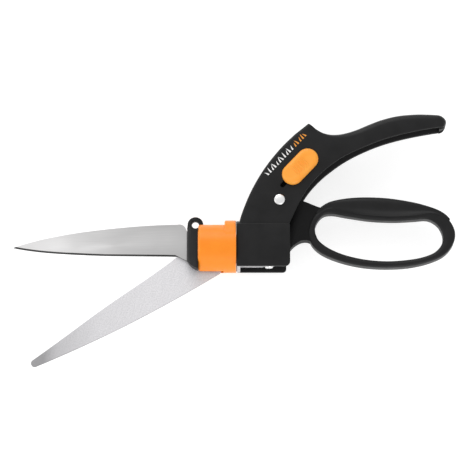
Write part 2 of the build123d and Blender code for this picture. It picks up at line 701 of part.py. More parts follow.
with BuildPart() as holder_near:
    add(holder.part)
    split(bisect_by=layer(FIXED_BLADE_TOP + 0.05))
    # Rib along the top that closes the gap between the halves, kept inside the collar's bore
    with BuildSketch(layer(-EYE_HALF)):
        with BuildLine():
            Polyline((-27.2, 13.2), (-3, 13.2), (-3, 16), (-27.2, 16), close=True)
        make_face()
    extrude(amount=2 * EYE_HALF)
    with BuildSketch(across(COLLAR_FRONT - 0.05)):
        Circle(30)
        Circle(HOLDER_R, mode=Mode.SUBTRACT)
    extrude(amount=40, mode=Mode.SUBTRACT)
    # Hanging eye, with the collar's rim cut out of it
    with BuildSketch(layer(-EYE_HALF)):
        with Locations(EYE_CENTRE):
            Circle(EYE_OUTER_R)
        with BuildLine():
            Polyline((-34.85, 18.0), (-35.3, 14.6), (-31, 13.2), (-27.1, 13.2), (-24, 18.0), close=True)
        make_face()
        with BuildLine():
            Polyline((-35.3, 14.6), (-31, 13.2), (-24, 13.2), (-24, 10.0), (-35.3, 10.0), close=True)
        make_face(mode=Mode.SUBTRACT)
        with Locations((-20, COLLAR_R / 2)):
            Rectangle(14.2, COLLAR_R + 0.2, mode=Mode.SUBTRACT)
        with Locations(EYE_CENTRE):
            Circle(EYE_HOLE_R, mode=Mode.SUBTRACT)
    extrude(amount=2 * EYE_HALF)
    # Web that joins the eye to the body under the recess
    with BuildSketch(layer(-EYE_HALF)):
        with BuildLine():
            Polyline((-31, 13.2), (-27.1, 13.2), (-27.1, 15.0), (-34.4, 15.0), (-35.1, 14.6), close=True)
        make_face()
        with Locations(EYE_CENTRE):
            Circle(EYE_WEB_R, mode=Mode.SUBTRACT)
    extrude(amount=EYE_HALF + EYE_WEB_TOP)
holder_near.part.label = "holder_near"
export_step(holder_near.part, "parts/holder_near.step")

with BuildPart() as holder_far:
    add(holder.part)
    split(bisect_by=layer(-EYE_HALF - 0.1), keep=Keep.BOTTOM)
holder_far.part.label = "holder_far"
export_step(holder_far.part, "parts/holder_far.step")

with BuildPart() as holder_screws:
    with BuildSketch(layer(HOLDER_SCREW_SEAT - RUNNING)):
        with Locations(HOLDER_SCREW_SPOTS):
            Circle(HOLDER_SCREW_HEAD_R)
    extrude(amount=-1.8)
    with BuildSketch(layer(HOLDER_SCREW_SEAT - 0.2)):
        with Locations(HOLDER_SCREW_SPOTS):
            Circle(HOLDER_SCREW_R)
    extrude(amount=10.6)
holder_screws.part.label = "holder_screws"
export_step(holder_screws.part, "parts/holder_screws.step")

with BuildPart() as swivel_spindle:
    with BuildSketch(PLANFORM):
        with BuildLine():
            Polyline(
                (-1.9, SPINDLE_BORE_R),
                (-1.9, SPINDLE_FLANGE_R),
                (-0.4, SPINDLE_FLANGE_R),
                (-0.4, SPINDLE_R),
                (RING_FRONT - 0.05, SPINDLE_R),
                (RING_FRONT - 0.05, GROOVE_R),
                (RING_FRONT + RING_THICK + 0.05, GROOVE_R),
                (RING_FRONT + RING_THICK + 0.05, SPINDLE_R),
                (9.6, SPINDLE_R),
                (9.6, SPINDLE_BORE_R),
                close=True,
            )
        make_face()
    revolve(axis=SWIVEL_AXIS)
swivel_spindle.part.label = "swivel_spindle"
export_step(swivel_spindle.part, "parts/swivel_spindle.step")

with BuildPart() as retaining_ring:
    with BuildSketch(across(RING_FRONT)):
        Circle(10.8)
        Circle(GROOVE_R + 0.05, mode=Mode.SUBTRACT)
        with Locations((0, 10)):
            Rectangle(11, 8, mode=Mode.SUBTRACT)
    extrude(amount=RING_THICK)
retaining_ring.part.label = "retaining_ring"
export_step(retaining_ring.part, "parts/retaining_ring.step")

with BuildPart() as rod_guide:
    with BuildSketch(across(5.4)):
        Circle(SPINDLE_BORE_R - 0.01)
        Circle(ROD_R + RUNNING, mode=Mode.SUBTRACT)
    extrude(amount=4.2)
rod_guide.part.label = "rod_guide"
export_step(rod_guide.part, "parts/rod_guide.step")

SPOOL_HALF = 4.05
GROOVE_HALF = FORK_PIN_R + RUNNING
YOKE_PIN_X = -8.0
YOKE_PIN_R = 1.0
with BuildPart() as push_rod:
    with BuildSketch(PLANFORM):
        with BuildLine():
            Polyline(
                (ROD_FRONT, 0),
                (ROD_FRONT, ROD_R),
                (FORK_PIN[0] - SPOOL_HALF, ROD_R),
                (FORK_PIN[0] - SPOOL_HALF, SPOOL_R),
                (FORK_PIN[0] - GROOVE_HALF, SPOOL_R),
                (FORK_PIN[0] - GROOVE_HALF, ROD_R),
                (FORK_PIN[0] + GROOVE_HALF, ROD_R),
                (FORK_PIN[0] + GROOVE_HALF, SPOOL_R),
                (FORK_PIN[0] + SPOOL_HALF, SPOOL_R),
                (FORK_PIN[0] + SPOOL_HALF, 0),
                close=True,
            )
        make_face()
    revolve(axis=SWIVEL_AXIS)
    with BuildSketch(layer(-10)):
        with Locations((YOKE_PIN_X, 0)):
            Circle(YOKE_PIN_R)
    extrude(amount=20, mode=Mode.SUBTRACT)
push_rod.part.label = "push_rod"
export_step(push_rod.part, "parts/push_rod.step")

YOKE_FRONT = -29.9
YOKE_BACK = -11.6
BLOCK_FRONT = -15.0
BLOCK_REAR = -4.6
BLOCK_R = 4.5
with BuildPart() as drive_yoke:
    with BuildSketch(across(BLOCK_FRONT)):
        Circle(BLOCK_R)
    extrude(amount=BLOCK_REAR - BLOCK_FRONT)
    with BuildSketch(layer(YOKE_LEVEL)):
        with Locations((BLOCK_FRONT, 0)):
            Rectangle(2 * (YOKE_BACK - BLOCK_FRONT), 20)
    extrude(amount=10, mode=Mode.SUBTRACT)
    with BuildSketch(layer(YOKE_LEVEL - YOKE_THICK)):
        with BuildLine():
            Polyline(
                (YOKE_FRONT, 2.0), (YOKE_FRONT, 12.2), (-19.6, 12.2), (YOKE_BACK, 5), (YOKE_BACK, -3.8),
                (-20, -3.8),
                close=True,
            )
        make_face()
        with Locations((DRIVE_PIN[0], 7.1)):
            Rectangle(2 * (DRIVE_PIN_R + RUNNING), 7.4, mode=Mode.SUBTRACT)
    extrude(amount=YOKE_THICK)
    with BuildSketch(across(ROD_FRONT)):
        Circle(ROD_R)
    extrude(amount=12, mode=Mode.SUBTRACT)
    with BuildSketch(layer(-10)):
        with Locations((YOKE_PIN_X, 0)):
            Circle(YOKE_PIN_R)
    extrude(amount=20, mode=Mode.SUBTRACT)
drive_yoke.part.label = "drive_yoke"
export_step(drive_yoke.part, "parts/drive_yoke.step")

with BuildPart() as yoke_pin:
    with BuildSketch(layer(-4.2)):
        with Locations((YOKE_PIN_X, 0)):
            Circle(YOKE_PIN_R)
    extrude(amount=8.4)
yoke_pin.part.label = "yoke_pin"
export_step(yoke_pin.part, "parts/yoke_pin.step")

RIVET_SPOTS = ((-31.6, 0.8), (-16.8, 9.2))
with BuildPart() as fixed_blade:
    with BuildSketch(layer(BLADE_GAP)):
        with BuildLine():
            back = Spline(
                (-165.6, 0.4), (-146.9, 6.0), (-118.2, 11.7), (-89.5, 15.3), (-60.8, 17.6), (-42.4, 18.2)
            )
            shoulder = ThreePointArc(back @ 1, (-37.8, 17.3), (-36.0, 14.2))
            Polyline(
                shoulder @ 1, (-34.8, 12.9), (-15.2, 12.9), (-15.2, 0), (-12.4, -6), (-12.6, -11),
                (-16.4, -14.0), (-27, -14.2), (-33.1, -13.0), (-35.4, -9.7), (-41.9, -6.3),
            )
            Spline(
                (-41.9, -6.3), (-60.9, -5.9), (-95.4, -5.6), (-118.2, -4.7), (-146.9, -2.6), (-165.6, 0.4)
            )
        make_face()
    extrude(amount=BLADE_THICK)
    bevelled = fixed_blade.edges().filter_by_position(
        Axis.Z, AXIS_Z + FIXED_BLADE_TOP - 0.01, AXIS_Z + FIXED_BLADE_TOP + 0.01
    )
    chamfer(bevelled.sort_by_distance((-100, AXIS_Y - 5.6, AXIS_Z + FIXED_BLADE_TOP))[0], 1.1)
    with BuildSketch(layer(0)):
        with Locations(BLADE_PIVOT):
            Circle(BOLT_R + 0.04)
        with Locations(RIVET_SPOTS):
            Circle(1.5)
        with Locations(HOLDER_SCREW_SPOTS[0]):
            Circle(1.7)
    extrude(amount=3, mode=Mode.SUBTRACT)
fixed_blade.part.label = "fixed_blade"
export_step(fixed_blade.part, "parts/fixed_blade.step")

with BuildPart() as blade_rivets:
    with BuildSketch(layer(BLADE_GAP)):
        with Locations(RIVET_SPOTS):
            Circle(1.48)
    extrude(amount=BLADE_THICK)
blade_rivets.part.label = "blade_rivets"
export_step(blade_rivets.part, "parts/blade_rivets.step")

with BuildPart() as moving_blade:
    with BuildSketch(layer(-BLADE_GAP - BLADE_THICK)):
        with BuildLine():
            tip = ThreePointArc((-149.8, -84.8), (-150.6, -88.3), (-147.0, -89.4))
            cutting = Spline(tip @ 0, (-124.2, -65.8), (-94.2, -43.2), (-70.2, -26.5), (-42.4, -6.0))
            Line(cutting @ 1, (-31.4, 2.2))
            tail = ThreePointArc((-28.2, 7.6), at_angle(DRIVE_PIN, 3.6, 60), (-21.3, 5.6))
            Line((-31.4, 2.2), tail @ 0)
            heel = ThreePointArc((-12.8, -5.0), (-9.6, -11.0), (-10.6, -18.8))
            Line(tail @ 1, heel @ 0)
            Spline(heel @ 1, (-40.2, -36.3), (-76.2, -56.1), (-112.2, -73.9), tip @ 1)
        make_face()
        with Locations(BLADE_PIVOT):
            Circle(BOLT_R + RUNNING, mode=Mode.SUBTRACT)
        with Locations(DRIVE_PIN):
            Circle(DRIVE_PIN_R - 0.4, mode=Mode.SUBTRACT)
    extrude(amount=BLADE_THICK)
moving_blade.part.label = "moving_blade"
export_step(moving_blade.part, "parts/moving_blade.step")

with BuildPart() as drive_pin:
    with BuildSketch(layer(YOKE_LEVEL - YOKE_THICK + 0.2)):
        with Locations(DRIVE_PIN):
            Circle(DRIVE_PIN_R)
    extrude(amount=YOKE_THICK - 0.2 - YOKE_LEVEL - BLADE_GAP - BLADE_THICK)
    with BuildSketch(layer(-BLADE_GAP - BLADE_THICK)):
        with Locations(DRIVE_PIN):
            Circle(DRIVE_PIN_R - 0.42)
    extrude(amount=BLADE_THICK)
drive_pin.part.label = "drive_pin"
export_step(drive_pin.part, "parts/drive_pin.step")

with BuildPart() as pivot_bolt:
    with BuildSketch(layer(-7.2)):
        with Locations(BLADE_PIVOT):
            Circle(BOLT_R)
    extrude(amount=12.6)
    with BuildSketch(layer(5.3)):
        with Locations(BLADE_PIVOT):
            Circle(BOLT_HEAD_R)
    extrude(amount=2.2)
pivot_bolt.part.label = "pivot_bolt"
export_step(pivot_bolt.part, "parts/pivot_bolt.step")

with BuildPart() as pivot_nut:
    with BuildSketch(layer(-4.4)):
        with Locations(BLADE_PIVOT):
            RegularPolygon(BOLT_HEAD_R, 6)
            Circle(BOLT_R + 0.02, mode=Mode.SUBTRACT)
    extrude(amount=-2.6)
pivot_nut.part.label = "pivot_nut"
export_step(pivot_nut.part, "parts/pivot_nut.step")

with BuildPart() as spring_washer:
    with BuildSketch(layer(4.45)):
        with Locations(BLADE_PIVOT):
            Circle(3.9)
            Circle(BOLT_R + 0.1, mode=Mode.SUBTRACT)
    extrude(amount=0.8)
spring_washer.part.label = "spring_washer"
export_step(spring_washer.part, "parts/spring_washer.step")
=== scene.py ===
"""Looks of the grass shears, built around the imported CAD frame.

Points are written in millimetres from the swivel axis, and spot() turns them into the frame's metres. The
swivel axis, the lever's hinge and the lock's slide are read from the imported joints.
"""

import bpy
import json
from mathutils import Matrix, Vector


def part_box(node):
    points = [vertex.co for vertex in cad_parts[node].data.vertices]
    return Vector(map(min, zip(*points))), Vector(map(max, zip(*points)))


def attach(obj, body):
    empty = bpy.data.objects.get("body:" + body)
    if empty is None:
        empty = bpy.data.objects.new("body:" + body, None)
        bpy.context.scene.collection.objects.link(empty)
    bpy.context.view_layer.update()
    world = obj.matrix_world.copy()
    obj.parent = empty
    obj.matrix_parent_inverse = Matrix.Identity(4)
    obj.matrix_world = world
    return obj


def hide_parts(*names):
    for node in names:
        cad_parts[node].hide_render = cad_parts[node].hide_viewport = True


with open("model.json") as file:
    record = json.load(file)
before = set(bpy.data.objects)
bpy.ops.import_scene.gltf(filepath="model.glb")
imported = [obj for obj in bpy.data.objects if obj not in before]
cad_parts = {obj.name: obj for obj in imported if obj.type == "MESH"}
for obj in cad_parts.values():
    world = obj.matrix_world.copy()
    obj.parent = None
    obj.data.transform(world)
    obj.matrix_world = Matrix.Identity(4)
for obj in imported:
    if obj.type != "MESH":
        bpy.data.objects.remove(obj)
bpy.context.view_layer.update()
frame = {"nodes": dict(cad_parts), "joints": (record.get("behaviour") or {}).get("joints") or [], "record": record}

import json
from math import acos, cos, degrees, pi, radians, sin, sqrt

import bmesh
import bpy
from mathutils import Vector

MM = 0.001
JOINTS = {joint["name"]: joint for joint in frame["joints"]}
AXIS = Vector(JOINTS["head_swivel"]["pos_m"])
AXIS.x = 0.0


def spot(x, y, z=0.0):
    """A point in millimetres from the swivel axis, in the frame's metres."""
    return Vector((x * MM, AXIS.y + y * MM, AXIS.z + z * MM))


def plan_of(point):
    """The place of a point of the frame as seen from above, in millimetres from the swivel axis."""
    return ((Vector(point) - AXIS) / MM).xy


# ---------------------------------------------------------------- curves and meshes
def blend_points(before, start, end, after, t):
    """Catmull-Rom point between start and end, for tuples of any length."""
    out = []
    for a, b, c, d in zip(before, start, end, after):
        bend = (2 * a - 5 * b + 4 * c - d) * t**2 + (3 * b - a - 3 * c + d) * t**3
        out.append(0.5 * (2 * b + (c - a) * t + bend))
    return tuple(out)


def smooth_line(keys, steps, closed=False):
    """A smooth line through the keys, with a number of steps from each key to the next."""
    count = len(keys)
    line = []
    for i in range(count if closed else count - 1):
        if closed:
            around = [keys[(i + k) % count] for k in (-1, 0, 1, 2)]
        else:
            around = [keys[min(max(i + k, 0), count - 1)] for k in (-1, 0, 1, 2)]
        line += [blend_points(*around, step / steps) for step in range(steps)]
    if not closed:
        line.append(tuple(keys[-1]))
    return line


def even_line(points, count, closed=False):
    """The same line with its points evenly spaced along it."""
    path = list(points) + ([points[0]] if closed else [])
    lengths = [0.0]
    for a, b in zip(path, path[1:]):
        lengths.append(lengths[-1] + sqrt(sum((p - q) ** 2 for p, q in zip(a, b))))
    spans = count if closed else count - 1
    out = []
    j = 0
    for i in range(count):
        want = lengths[-1] * i / spans
        while j < len(path) - 2 and lengths[j + 1] < want:
            j += 1
        share = (want - lengths[j]) / max(lengths[j + 1] - lengths[j], 1e-12)
        out.append(tuple(p + (q - p) * min(share, 1.0) for p, q in zip(path[j], path[j + 1])))
    return out


def skin(mesh, rings, closed=False):
    """Adds a surface through rings of points to a bmesh, with a cap at each end unless it is closed."""
    rows = [[mesh.verts.new(point) for point in ring] for ring in rings]
    size = len(rows[0])
    spans = len(rows) if closed else len(rows) - 1
    for i in range(spans):
        here, there = rows[i], rows[(i + 1) % len(rows)]
        for j in range(size):
            k = (j + 1) % size
            mesh.faces.new((here[j], here[k], there[k], there[j]))
    if not closed:
        mesh.faces.new(list(reversed(rows[0])))
        mesh.faces.new(rows[-1])


def finish_mesh(mesh, name, crease_angle=35.0):
    """Turns a bmesh into a linked object with smooth shading that breaks at sharp edges."""
    bmesh.ops.recalc_face_normals(mesh, faces=mesh.faces)
    data = bpy.data.meshes.new(name)
    mesh.to_mesh(data)
    mesh.free()
    piece = bpy.data.objects.new(name, data)
    bpy.context.scene.collection.objects.link(piece)
    shade(piece, crease_angle)
    return piece


def shade(piece, crease_angle):
    """Smooth shading, with edges sharper than the angle kept sharp."""
    data = piece.data
    for face in data.polygons:
        face.use_smooth = True
    data.set_sharp_from_angle(angle=radians(crease_angle))


def apply_modifiers(piece):
    """Bakes a piece's modifiers into its mesh."""
    bpy.context.view_layer.update()
    graph = bpy.context.evaluated_depsgraph_get()
    data = bpy.data.meshes.new_from_object(piece.evaluated_get(graph))
    piece.modifiers.clear()
    old = piece.data
    piece.data = data
    data.name = piece.name
    bpy.data.meshes.remove(old)


def join(name, pieces):
    """Joins pieces into one object."""
    mesh = bmesh.new()
    for piece in pieces:
        mesh.from_mesh(piece.data)
        old = piece.data
        bpy.data.objects.remove(piece)
        bpy.data.meshes.remove(old)
    return finish_mesh(mesh, name)


def rounded(node, name, width, segments=3, angle=32.0, crease_angle=50.0):
    """A copy of a CAD node with its sharp edges rounded by a width in millimetres."""
    mesh = bmesh.new()
    mesh.from_mesh(frame["nodes"][node].data)
    bmesh.ops.remove_doubles(mesh, verts=mesh.verts, dist=2e-6)
    bmesh.ops.dissolve_limit(mesh, angle_limit=radians(0.6), verts=mesh.verts, edges=mesh.edges)
    piece = finish_mesh(mesh, name)
    bevel = piece.modifiers.new("round", "BEVEL")
    bevel.width = width * MM
    bevel.segments = segments
    bevel.limit_method = "ANGLE"
    bevel.angle_limit = radians(angle)
    bevel.harden_normals = True
    apply_modifiers(piece)
    shade(piece, crease_angle)
    return piece


RIM_STEPS = 4


def slab(mesh, outline, low, high, edge):
    """Adds a plate with an outline in millimetres and rounded rims to a bmesh."""
    count = len(outline)

    def inset(amount):
        ring = []
        for i in range(count):
            a, b, c = (Vector(outline[(i + k) % count]) for k in (-1, 0, 1))
            first = (b - a).normalized()
            second = (c - b).normalized()
            normal = Vector((-(first.y + second.y), first.x + second.x)).normalized()
            stretch = 1.0 / max(normal.dot(Vector((-first.y, first.x))), 0.4)
            ring.append(b + normal * amount * stretch)
        return ring

    turns = [pi / 2 * i / RIM_STEPS for i in range(RIM_STEPS + 1)]
    rims = [(edge * (1 - sin(turn)), low + edge * (1 - cos(turn))) for turn in turns]
    rims += [(edge * (1 - sin(turn)), high - edge * (1 - cos(turn))) for turn in reversed(turns)]
    skin(mesh, [[spot(p.x, p.y, height) for p in inset(amount)] for amount, height in rims])


def corner(centre, radius, start, end, steps=5):
    """Points of a rounded corner, as angles in degrees about its centre."""
    out = []
    for i in range(steps + 1):
        angle = radians(start + (end - start) * i / steps)
        out.append((centre[0] + radius * cos(angle), centre[1] + radius * sin(angle)))
    return out


# ---------------------------------------------------------------- materials
class Look:
    """A node material being put together, with short calls for the nodes used here."""

    def __init__(self, name, color, roughness, metallic=0.0, **settings):
        self.material = bpy.data.materials.new(name)
        self.material.use_nodes = True
        self.nodes = self.material.node_tree.nodes
        self.links = self.material.node_tree.links
        self.shader = self.nodes["Principled BSDF"]
        self.shader.inputs["Base Color"].default_value = (*color, 1.0)
        self.shader.inputs["Roughness"].default_value = roughness
        self.shader.inputs["Metallic"].default_value = metallic
        for key, value in settings.items():
            self.shader.inputs[key.replace("_", " ")].default_value = value
        self.place = self.nodes.new("ShaderNodeTexCoord").outputs["Object"]

    def stretched(self, scale, turn=0.0):
        """Object coordinates scaled differently along each axis, after a turn about Z."""
        mapping = self.nodes.new("ShaderNodeMapping")
        mapping.vector_type = "TEXTURE"
        mapping.inputs["Scale"].default_value = scale
        mapping.inputs["Rotation"].default_value = (0.0, 0.0, radians(turn))
        self.links.new(self.place, mapping.inputs["Vector"])
        return mapping.outputs["Vector"]

    def noise(self, size, detail=3.0, rough=0.5, place=None):
        """Noise whose features are about a size in millimetres."""
        node = self.nodes.new("ShaderNodeTexNoise")
        node.inputs["Scale"].default_value = 1.0 / (size * MM) if place is None else 1.0
        node.inputs["Detail"].default_value = detail
        node.inputs["Roughness"].default_value = rough
        self.links.new(place or self.place, node.inputs["Vector"])
        return node.outputs["Fac"]

    def ramp(self, value, stops):
        """A colour ramp with (position, colour or grey) stops."""
        node = self.nodes.new("ShaderNodeValToRGB")
        elements = node.color_ramp.elements
        while len(elements) < len(stops):
            elements.new(0.5)
        for element, (position, color) in zip(elements, stops):
            element.position = position
            element.color = (*color, 1.0) if isinstance(color, tuple) else (color, color, color, 1.0)
        self.links.new(value, node.inputs["Fac"])
        return node.outputs["Color"]

    def spread(self, value, low, high, start=0.3, end=0.7):
        """Maps a noise value to a range."""
        node = self.nodes.new("ShaderNodeMapRange")
        node.inputs["From Min"].default_value = start
        node.inputs["From Max"].default_value = end
        node.inputs["To Min"].default_value = low
        node.inputs["To Max"].default_value = high
        self.links.new(value, node.inputs["Value"])
        return node.outputs["Result"]

    def multiply(self, first, second):
        """Multiplies two colours."""
        node = self.nodes.new("ShaderNodeMix")
        node.data_type = "RGBA"
        node.blend_type = "MULTIPLY"
        factor, color_a, color_b = (node.inputs[i] for i in (0, 6, 7))
        factor.default_value = 1.0
        self.links.new(first, color_a)
        self.links.new(second, color_b)
        return node.outputs[2]

    def part_of(self, vector, axis):
        """One component of a vector."""
        split = self.nodes.new("ShaderNodeSeparateXYZ")
        self.links.new(vector, split.inputs["Vector"])
        return split.outputs[axis]

    def along(self, start, end):
        """0 to 1 from one X to another, in millimetres of the piece's own frame."""
        return self.spread(self.part_of(self.place, "X"), 0.0, 1.0, start * MM, end * MM)

    def shaded_side(self):
        """A painted shade mask: 0 on faces that look along -Y, such as a blade's ground edge, and 1 elsewhere."""
        normal = self.nodes["Texture Coordinate"].outputs["Normal"]
        return self.spread(self.part_of(normal, "Y"), 0.0, 1.0, -0.55, -0.3)

    def send(self, value, socket):
        """Feeds a value to one of the shader's sockets."""
        self.links.new(value, self.shader.inputs[socket])

    def bump(self, *layers):
        """Stacks bump layers, each (height, strength, depth in millimetres)."""
        normal = None
        for height, strength, depth in layers:
            node = self.nodes.new("ShaderNodeBump")
            node.inputs["Strength"].default_value = strength
            node.inputs["Distance"].default_value = depth * MM
            self.links.new(height, node.inputs["Height"])
            if normal is not None:
                self.links.new(normal, node.inputs["Normal"])
            normal = node.outputs["Normal"]
        self.links.new(normal, self.shader.inputs["Normal"])


def moulded_black(name, grey, roughness, grain, gloss=0.24):
    """Black moulded plastic: spark-eroded grain, uneven gloss and faint dusty patches."""
    look = Look(name, (grey, grey, grey * 1.05), roughness, Specular_IOR_Level=gloss)
    patches = look.noise(14.0, 4.0, 0.6)
    deep = (grey * 0.8, grey * 0.8, grey * 0.84)
    dusty = (grey * 1.35, grey * 1.35, grey * 1.4)
    look.send(look.ramp(patches, [(0.3, deep), (0.72, dusty)]), "Base Color")
    look.send(look.spread(patches, roughness - 0.06, roughness + 0.08), "Roughness")
    look.bump((look.noise(grain, 2.0, 0.55), 0.35, 0.05), (look.noise(grain * 9, 3.0), 0.12, 0.12))
    return look.material


def orange_plastic(name, deep, pale):
    """Glossy orange plastic with faint flow marks between two tones and a fine grain."""
    look = Look(name, deep, 0.36, Specular_IOR_Level=0.35, Subsurface_Weight=0.08, Subsurface_Scale=0.002)
    look.shader.inputs["Subsurface Radius"].default_value = (1.0, 0.35, 0.1)
    flow = look.noise(9.0, 3.0, 0.5)
    look.send(look.ramp(flow, [(0.25, deep), (0.75, pale)]), "Base Color")
    look.send(look.spread(look.noise(6.0, 4.0), 0.32, 0.42), "Roughness")
    look.bump((look.noise(0.5, 2.0), 0.2, 0.03), (look.noise(7.0, 2.0), 0.08, 0.1))
    return look.material


def polished_blade():
    """Ground steel with long brush lines along the blade and a few smudges, with painted shade on the ground edge
    and towards the heel.
    """
    look = Look("polished_blade_steel", (0.56, 0.55, 0.54), 0.3, 1.0, Anisotropic=0.4)
    lines = look.noise(1.0, 5.0, 0.6, look.stretched((0.040, 0.0005, 0.01), 2.0))
    broad = look.noise(1.0, 2.0, 0.5, look.stretched((0.10, 0.012, 0.01), 12.0))
    grain = look.ramp(lines, [(0.3, (0.86, 0.855, 0.855)), (0.7, (0.94, 0.93, 0.93))])
    wide = look.ramp(broad, [(0.3, 0.93), (0.7, 1.0)])
    # painted shade: the ground edge, the faces that look along -Y, is darkened
    edge = look.ramp(look.shaded_side(), [(0.0, 0.08), (1.0, 1.0)])
    # painted shade: the blade darkens towards its heel by the holder
    heel_shade = look.ramp(look.along(-130.0, -45.0), [(0.0, 1.0), (0.45, 0.86), (1.0, 0.68)])
    tone = look.multiply(look.multiply(grain, wide), heel_shade)
    look.send(look.multiply(tone, edge), "Base Color")
    look.send(look.spread(look.noise(18.0, 2.0, 0.5), 0.34, 0.42), "Roughness")
    look.bump((lines, 0.2, 0.01))
    return look.material


def satin_blade():
    """Blasted steel: pale, with a fine mottled grain and faint strokes across the blade, and painted shade on the
    faces that look along -Y and towards the tip.
    """
    look = Look("satin_blade_steel", (0.7, 0.7, 0.71), 0.5, 0.8)
    mottle = look.noise(0.9, 5.0, 0.75)
    strokes = look.noise(1.0, 4.0, 0.7, look.stretched((0.0009, 0.009, 0.01), -18.0))
    pits, ground, peaks = (0.68, 0.675, 0.69), (0.83, 0.82, 0.84), (0.97, 0.96, 0.98)
    fine = look.ramp(mottle, [(0.3, pits), (0.5, ground), (0.7, peaks)])
    across = look.ramp(strokes, [(0.3, 0.93), (0.7, 1.0)])
    # painted shade: the faces that look along -Y are darkened
    edge = look.ramp(look.shaded_side(), [(0.0, 0.4), (1.0, 1.0)])
    # painted shade: the blade darkens towards its tip
    tip_shade = look.ramp(look.along(-142.0, -60.0), [(0.0, 0.5), (0.12, 0.75), (0.5, 0.95), (1.0, 1.0)])
    tone = look.multiply(look.multiply(fine, across), tip_shade)
    look.send(look.multiply(tone, edge), "Base Color")
    look.send(look.spread(mottle, 0.48, 0.62), "Roughness")
    look.bump((mottle, 0.2, 0.02), (strokes, 0.12, 0.02))
    return look.material


def turned_metal(name, color, roughness, dark=0.75):
    """Small metal parts: fine turning marks, with slightly dulled patches."""
    look = Look(name, color, roughness, 1.0)
    patches = look.noise(1.6, 4.0, 0.6)
    dulled = tuple(channel * dark for channel in color)
    look.send(look.ramp(patches, [(0.3, dulled), (0.65, color)]), "Base Color")
    look.send(look.spread(patches, roughness + 0.1, roughness - 0.04), "Roughness")
    look.bump((look.noise(0.18, 2.0), 0.15, 0.01))
    return look.material


def nylon():
    """Natural nylon, slightly waxy."""
    look = Look("natural_nylon", (0.75, 0.73, 0.66), 0.45, Subsurface_Weight=0.15, Subsurface_Scale=0.001)
    waxy, pale = (0.68, 0.66, 0.58), (0.80, 0.79, 0.73)
    look.send(look.ramp(look.noise(3.0), [(0.3, waxy), (0.7, pale)]), "Base Color")
    look.bump((look.noise(0.4), 0.15, 0.02))
    return look.material


def print_ink(name, color):
    """Pad-printed ink with tiny gaps where the grain shows through."""
    look = Look(name, color, 0.5)
    worn = tuple(channel * 0.82 for channel in color)
    look.send(look.ramp(look.noise(0.4, 4.0, 0.7), [(0.32, worn), (0.5, color)]), "Base Color")
    look.bump((look.noise(0.3), 0.15, 0.01))
    return look.material


LOOKS = {
    "black_nylon": moulded_black("black_moulding", 0.009, 0.42, 0.55),
    "core_nylon": moulded_black("black_core", 0.005, 0.55, 0.45, 0.16),
    "soft_loop": moulded_black("soft_loop_skin", 0.009, 0.42, 0.4),
    "soft_grip": moulded_black("soft_grip_skin", 0.009, 0.42, 0.35),
    "orange_plastic": orange_plastic("orange_shell", (0.98, 0.265, 0.010), (1.0, 0.29, 0.014)),
    "white_nylon": nylon(),
    "polished_blade": polished_blade(),
    "satin_blade": satin_blade(),
    "bright_steel": turned_metal("bright_steel_parts", (1.0, 1.0, 1.0), 0.32, 0.93),
    "zinc_steel": turned_metal("zinc_plate", (0.62, 0.62, 0.64), 0.34),
    "spring_steel": turned_metal("dark_spring_steel", (0.30, 0.30, 0.32), 0.38),
    "brass_bush": turned_metal("brass", (0.72, 0.52, 0.22), 0.3),
}
SLOTS = {row["node"]: row["material_slot"] for row in frame["record"]["subparts"]}


def dress(piece, slot):
    """Gives a piece one of the looks, and nothing else."""
    piece.data.materials.clear()
    piece.data.materials.append(LOOKS[slot])


def stand_in(piece, body, *nodes):
    """A new piece that takes the place of CAD nodes of one material slot on one body."""
    dress(piece, SLOTS[nodes[0]])
    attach(piece, body)
    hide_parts(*nodes)


for node, thing in frame["nodes"].items():
    dress(thing, SLOTS[node])

# ---------------------------------------------------------------- handle body
WALL = 2.5
# Stations of the channel: outer contour x, y; open edge x, y; half width; rounding of the outer corners
STATIONS = [
    (3.2, 14.6, 40.6, 14.6, 13.2, 2.2),
    (4.4, 20.3, 43.2, 21.0, 13.2, 2.2),
    (6.9, 28.0, 46.4, 27.8, 13.2, 2.2),
    (11.8, 40.0, 52.2, 39.2, 13.2, 2.2),
    (18.1, 52.0, 57.5, 46.9, 13.2, 2.2),
    (26.0, 64.0, 62.5, 52.6, 13.2, 2.2),
    (35.8, 76.0, 66.4, 56.4, 13.2, 2.2),
    (45.9, 86.0, 69.5, 59.2, 13.2, 2.2),
    (53.8, 92.4, 71.9, 61.1, 13.2, 2.2),
    (55.7, 93.9, 72.6, 61.7, 13.2, 2.2),
    (57.3, 93.4, 73.3, 62.2, 13.2, 2.2),
    (61.4, 90.0, 75.4, 63.8, 13.0, 2.6),
    (66.5, 87.3, 78.6, 66.1, 12.6, 3.2),
    (73.5, 86.1, 83.0, 68.9, 11.9, 4.0),
    (82.0, 87.2, 89.0, 72.2, 10.9, 4.6),
    (92.0, 90.5, 96.5, 75.8, 10.1, 5.0),
    (102.0, 94.9, 105.0, 79.5, 9.9, 5.2),
    (112.0, 98.7, 114.0, 82.8, 9.9, 5.2),
    (124.0, 101.6, 125.5, 86.1, 9.9, 5.2),
    (136.8, 102.7, 137.0, 88.7, 9.9, 5.0),
    (146.0, 102.6, 146.0, 90.4, 9.9, 4.8),
    (152.0, 102.3, 151.4, 91.3, 9.8, 4.6),
]
TIP_STATIONS = [
    (154.8, 102.0, 154.0, 91.6, 9.6, 4.4),
    (157.0, 101.1, 155.9, 91.9, 9.0, 4.2),
    (158.8, 99.6, 157.7, 92.5, 8.0, 3.8),
    (159.9, 97.9, 158.9, 93.6, 6.4, 3.0),
    (160.1, 96.4, 159.7, 94.9, 4.0, 1.0),
]


